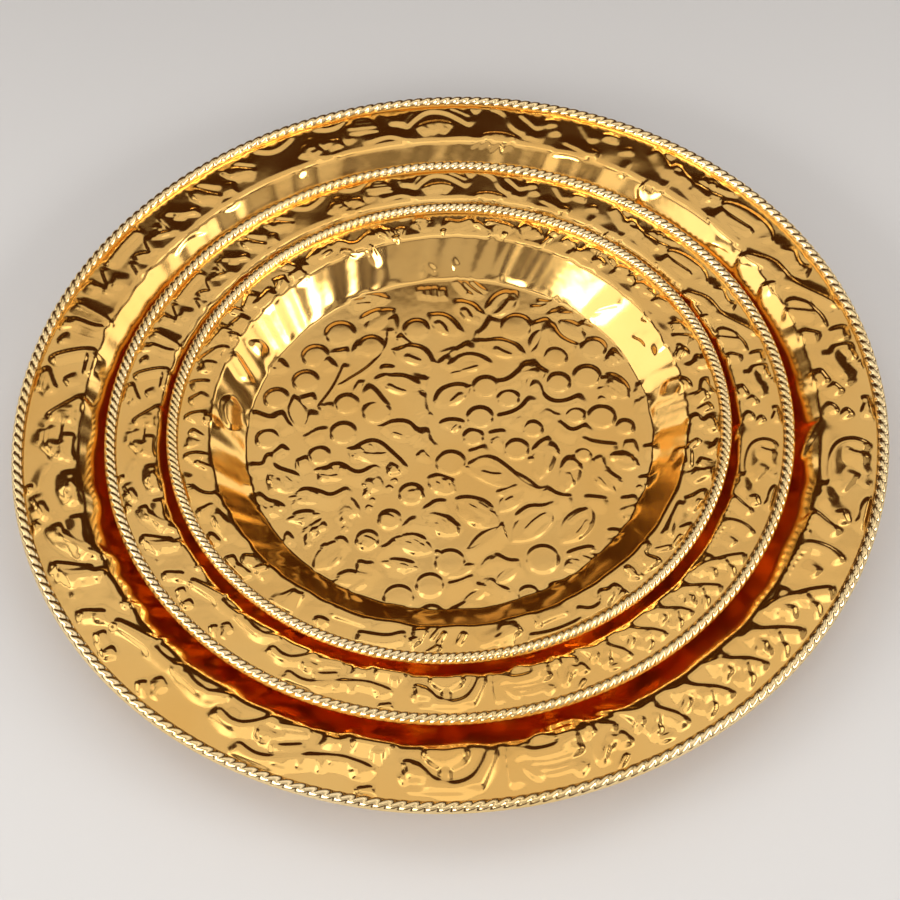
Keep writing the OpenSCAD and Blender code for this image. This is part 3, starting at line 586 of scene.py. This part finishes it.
smallLines = (
    (25, 84, 28, 90, 30.6, 85), (25, 75, 28, 82, 30.6, 76), (25, 66, 28, 73, 30.6, 69),
    (25.6, 57, 28, 62, 30.4, 60), (312.8, 88, 313, 65, 313.5, 45), (314.3, 90, 314.3, 65),
    (311.6, 84, 311.8, 62), (21, -35, 24, -32, 28, -50), (35, -12, 38, -35, 42, -70), (26, 5, 29, -8),
    (84, -55, 86, -75), (91, -60, 92, -80), (96, 92, 99, 88), (206, 50, 210, 58), (285.4, 62, 287.4, 66),
)
# degree and percent: how many millimetres one of them is as drawn
wideDesign = {"far": rimFar, "near": rimNear, "lines": rimLines, "degree": 2.8, "percent": 0.246}
designs = {
    "large": {**wideDesign, "size": 1.0, "folds": 1.5},
    "medium": {**wideDesign, "size": 0.8, "folds": 1.3},
    "small": {
        "far": smallFar, "near": smallNear, "lines": smallLines, "degree": 1.82, "percent": 0.141,
        "size": 1.0, "folds": 1.0,
    },
}
# height, width of the steep side and length of the slow one, in millimetres
rimEdges = {"far": (1.0, 2.5, 6.5), "near": (0.65, 2.5, 6.5), "lines": (0.32, 1.1, 4.6)}
# millimetres, and percent of the way across the design for foldsFrom, foldsOver and quietRim
rimShape = {
    "ceiling": 1.4, "end": 4.0, "endShare": 2.6, "spare": 1.0,
    "foldsFrom": 60, "foldsOver": 55, "quietRim": 6, "quietFoot": 4,
}
# the wall's folds: height, waves round the plate, how far, how often and from where they wander,
# and how far they lean in one percent
wallFolds = ((0.2, 19, 1.6, 4, 0, 0), (0.16, 31, 2, 3, 1, 1 / 60), (0.07, 61, 3, 5, 0, 1 / 25))


def wrapped(x, centre):
    return (x - centre + 180) % 360 - 180  # the short way round


def addRimEdges(height, azimuth, percent, design):
    outward = percent * design["percent"]
    for kind, (tall, width, fade) in rimEdges.items():
        shape = tall, width / 2, fade, rimShape["end"], rimShape["endShare"]
        for stroke in design[kind]:
            points = curved(stroke)
            middle = (points[:, 0].min() + points[:, 0].max()) / 2
            points = np.c_[(points[:, 0] - middle) * design["degree"], points[:, 1] * design["percent"]]
            reach = np.abs(points[:, 0]).max() + fade + rimShape["spare"]
            dx = wrapped(azimuth, middle) * design["degree"]
            near = np.nonzero(np.abs(dx) < reach)[0]
            across, out = points[-1] - points[0]
            rightward = out * cos(radians(middle)) - across * sin(radians(middle)) > 0
            facing = -1.0 if rightward == (kind == "far") else 1.0
            raiseEdge(height, near, points, dx, outward, shape, facing)


def wallRelief(plate, design, radius, angle, footX):
    inner = plate["beadRadius"] - rope["beadRadius"] - plate["designWidth"]
    percent = (radius - inner) / plate["designWidth"] * 100
    height = np.zeros(len(radius))
    addRimEdges(height, np.degrees(angle), percent, design)
    height = limited(height, rimShape["ceiling"])
    folds = sum(
        tall * np.sin(waves * angle + wander * np.sin(turns * angle + start) + lean * percent)
        for tall, waves, wander, turns, start, lean in wallFolds
    )
    height += design["folds"] * folds * smooth((rimShape["foldsFrom"] - percent) / rimShape["foldsOver"])
    quiet = smooth((100 - percent) / rimShape["quietRim"]) * smooth((radius - footX) / rimShape["quietFoot"])
    return height * quiet * design["size"]


def reliefHeight(plate, design, radius, angle, footX):
    # millimetres that the sheet stands up at each point
    height = np.zeros(len(radius))
    inner = np.nonzero(radius < footX * (1 + relief["overlap"]))[0]
    scale = 100.0 / footX
    x, y = radius[inner] * np.cos(angle[inner]) * scale, radius[inner] * np.sin(angle[inner]) * scale
    height[inner] = floorRelief(x, y) * (1 - smooth((radius[inner] / footX - 1.0) / relief["overlap"]))
    outer = np.nonzero(radius > footX)[0]
    height[outer] += wallRelief(plate, design, radius[outer], angle[outer], footX)
    return height


# materials
def addNode(tree, kind, inputs, **settings):
    # another node's output is linked, a number or colour is set on the socket itself
    node = tree.nodes.new("ShaderNode" + kind)
    for key, value in settings.items():
        setattr(node, key, value)
    for key, value in inputs.items():
        if isinstance(value, bpy.types.NodeSocket):
            tree.links.new(value, node.inputs[key])
        else:
            node.inputs[key].default_value = value
    return node


def newMaterial(name):
    material = bpy.data.materials.new(name)
    material.use_nodes = True
    material.node_tree.nodes.clear()
    return material, material.node_tree


def addShader(tree, inputs):
    shader = addNode(tree, "BsdfPrincipled", inputs)
    addNode(tree, "OutputMaterial", {"Surface": shader.outputs["BSDF"]})


def sheetGrainGroup(look):
    # rolled sheet: faint clouds of colour and gloss, and tiny dents
    group = bpy.data.node_groups.new("sheetGrain", "ShaderNodeTree")
    for name, direction, kind in (
        ("Colour", "INPUT", "Color"), ("Deep Colour", "INPUT", "Color"), ("Roughness", "INPUT", "Float"),
        ("Dent Size", "INPUT", "Float"), ("Dent Depth", "INPUT", "Float"),
        ("Colour", "OUTPUT", "Color"), ("Roughness", "OUTPUT", "Float"), ("Height", "OUTPUT", "Float"),
    ):
        group.interface.new_socket(name=name, in_out=direction, socket_type="NodeSocket" + kind)
    given = group.nodes.new("NodeGroupInput").outputs
    made = group.nodes.new("NodeGroupOutput").inputs
    place = addNode(group, "TexCoord", {}).outputs["Object"]
    clouds = addNode(group, "TexNoise", {
        "Vector": place, "Scale": look["cloudScale"], "Detail": look["cloudDetail"],
    }).outputs["Fac"]
    dents = addNode(group, "TexNoise", {
        "Vector": place, "Scale": given["Dent Size"], "Detail": look["dentDetail"],
    }).outputs["Fac"]
    share = addNode(group, "MapRange", {
        "Value": clouds, "From Min": look["cloudFrom"], "From Max": look["cloudTo"],
    }).outputs["Result"]
    mix = addNode(group, "Mix", {
        "Factor": share, "A": given["Colour"], "B": given["Deep Colour"],
    }, data_type="RGBA")
    rough = addNode(group, "Math", {
        0: share, 1: look["duller"], 2: given["Roughness"],
    }, operation="MULTIPLY_ADD")
    height = addNode(group, "Math", {0: dents, 1: given["Dent Depth"]}, operation="MULTIPLY")
    group.links.new(mix.outputs["Result"], made["Colour"])
    group.links.new(rough.outputs["Value"], made["Roughness"])
    group.links.new(height.outputs["Value"], made["Height"])
    return group


def metalMaterial(name, look):
    material, tree = newMaterial(name)
    grain = addNode(tree, "Group", {
        "Colour": (*look["colour"], 1), "Deep Colour": (*look["deepColour"], 1),
        "Roughness": look["roughness"], "Dent Size": look["dentSize"], "Dent Depth": look["dentDepth"],
    }, node_tree=sheetGrain).outputs
    bump = addNode(tree, "Bump", {"Distance": look["bumpDistance"], "Height": grain["Height"]})
    addShader(tree, {
        "Base Color": grain["Colour"], "Roughness": grain["Roughness"], "Metallic": 1.0,
        "Normal": bump.outputs["Normal"],
    })
    return material


grainLook = {
    "cloudScale": 22, "cloudDetail": 3, "cloudFrom": 0.35, "cloudTo": 0.7, "duller": 0.05, "dentDetail": 2,
}
goldSheetLook = {
    "colour": (0.96, 0.605, 0.195), "deepColour": (0.93, 0.55, 0.155), "roughness": 0.12,
    "dentSize": 90.0, "dentDepth": 0.12, "bumpDistance": 0.001,
}
# the rope edge: the sheet's own gold painted paler, a painted highlight standing in for its bright ridges
paleHighlightEdgeLook = {
    "colour": (0.97, 0.76, 0.42), "deepColour": (0.94, 0.68, 0.3), "roughness": 0.18,
    "dentSize": 400.0, "dentDepth": 0.05, "bumpDistance": 0.001,
}
wireLook = {
    "colour": (0.55, 0.55, 0.53), "deepColour": (0.45, 0.45, 0.44), "roughness": 0.35,
    "dentSize": 900.0, "dentDepth": 0.05, "bumpDistance": 0.0005,
}
sheetGrain = sheetGrainGroup(grainLook)
goldSheet = metalMaterial("goldSheet", goldSheetLook)
paleHighlightEdge = metalMaterial("paleHighlightEdge", paleHighlightEdgeLook)
wireSteel = metalMaterial("wireSteel", wireLook)

# the three plates
for size, plate in plates.items():
    shell = makeSheet(size + "Sheet", plate, designs[size])
    shell.data.materials.append(goldSheet)
    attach(shell, plate["body"])
    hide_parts(size + "_shell")
    edge = makeRope(size + "RopeEdge", plate)
    # the rope edge gets the gold painted paler than the sheet, a painted highlight
    edge.data.materials.append(paleHighlightEdge)
    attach(edge, plate["body"])
    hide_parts(size + "_rope_edge")
    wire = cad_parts[size + "_edge_wire"]
    wire.data.materials.clear()
    wire.data.materials.append(wireSteel)
    faces = len(shell.data.polygons), len(edge.data.polygons)
    print(size, "plate:", faces[0], "faces on the sheet,", faces[1], "on the edge")

# floor and background
stand = {"halfSize": 3.0, "colour": (0.66, 0.657, 0.65), "roughness": 0.7}
floorMesh = bpy.data.meshes.new("studioFloor")
s = stand["halfSize"]
floorMesh.from_pydata([(-s, -s, 0), (s, -s, 0), (s, s, 0), (-s, s, 0)], [], [(0, 1, 2, 3)])
studioFloor = addObject("studioFloor", floorMesh)
paper, paperTree = newMaterial("palePaper")
addShader(paperTree, {"Base Color": (*stand["colour"], 1), "Roughness": stand["roughness"]})
floorMesh.materials.append(paper)

room = {"colour": (0.05, 0.02, 0.008), "strength": 1.0}
world = bpy.data.worlds.new("room")
world.use_nodes = True
scene.world = world
background = world.node_tree.nodes["Background"]
background.inputs["Color"].default_value = (*room["colour"], 1)
background.inputs["Strength"].default_value = room["strength"]

# a tent of soft panels: name, centre, faces, width, height, strength, colour
soft, clear = (1, 0.98, 0.95), (1, 0.99, 0.97)
panelPower = 10  # watts on a square metre at strength 1
lamps = (
    ("backUpper", (0, 0.5, 0.72), (0, -1, 0), 0.9, 0.42, 0.205, soft),
    ("topBack", (0, 0.3, 0.95), (0, 0, -1), 1.1, 0.4, 0.22, soft),
    ("topMiddle", (0, -0.1, 0.95), (0, 0, -1), 0.6, 0.36, 0.32, soft),
    ("topFront", (0, -0.5, 0.95), (0, 0, -1), 1.1, 0.44, 0.24, soft),
    ("topLeft", (-0.38, 0.12, 0.95), (0, 0, -1), 0.42, 0.42, 0.6, clear),
    ("topRight", (0.38, 0.12, 0.95), (0, 0, -1), 0.42, 0.42, 0.6, clear),
    ("sideLeft", (-0.8, -0.1, 0.95), (0, 0, -1), 0.3, 1.1, 0.36, soft),
    ("sideRight", (0.8, -0.1, 0.95), (0, 0, -1), 0.3, 1.1, 0.12, soft),
    ("frontLeft", (-0.8, -0.62, 0.58), (0.8, 0.62, -0.1), 0.92, 0.28, 2.2, clear),
    ("frontRight", (0.8, -0.62, 0.58), (-0.8, 0.62, -0.1), 0.92, 0.28, 2.3, clear),
    ("frontLowLeft", (-0.8, -0.62, 0.32), (0.8, 0.62, 0), 0.92, 0.22, 0.45, soft),
    ("frontLowRight", (0.8, -0.62, 0.32), (-0.8, 0.62, 0), 0.92, 0.22, 0.45, soft),
    ("footLeft", (-0.68, 0.5, 0.1), (0, -1, 0), 0.5, 0.16, 0.4, soft),
    ("footRight", (0.68, 0.5, 0.1), (0, -1, 0), 0.5, 0.16, 0.4, soft),
    ("frontPanel", (0, -0.8, 0.6), (0, 1, 0), 0.9, 0.6, 0.16, soft),
    ("leftPanel", (-0.92, -0.05, 0.5), (1, 0, 0), 1.2, 0.55, 0.48, soft),
    ("rightPanel", (0.92, -0.05, 0.58), (-1, 0, 0), 1.2, 0.4, 0.5, soft),
)
for name, centre, facing, width, height, strength, colour in lamps:
    light = bpy.data.lights.new(name, "AREA")
    light.shape, light.size, light.size_y = "RECTANGLE", width, height
    light.energy, light.color = panelPower * width * height * strength, colour
    lamp = addObject(name, light)
    lamp.location = centre
    lamp.rotation_euler = Vector(facing).to_track_quat("-Z", "Y").to_euler()
    lamp.visible_camera = False

# camera, from the ellipses of the three rims
shot = {
    "elevation": 55.18, "roll": -3.2, "distance": 700.0, "aim": (0.0, -5.5, 0.2),
    "focalPixels": 1666.0, "imagePixels": 900, "sensor": 36.0,
}
camera = bpy.data.cameras.new("photoCamera")
camera.sensor_width = shot["sensor"]
camera.lens = shot["focalPixels"] / shot["imagePixels"] * shot["sensor"]
viewer = addObject("photoCamera", camera)
tilt, roll = radians(shot["elevation"]), radians(shot["roll"])
back = Vector((0, -cos(tilt), sin(tilt)))
side = Vector((1, 0, 0))
upward = back.cross(side)
across = side * cos(roll) + upward * sin(roll)
above = -side * sin(roll) + upward * cos(roll)
turn = Matrix((across, above, back)).transposed().to_4x4()
viewer.matrix_world = Matrix.Translation((Vector(shot["aim"]) + back * shot["distance"]) * mm) @ turn
bpy.context.scene.camera = viewer

scene.view_settings.view_transform = "Standard"
scene.cycles.max_bounces = 14
scene.cycles.glossy_bounces = 14

print("scene ready")
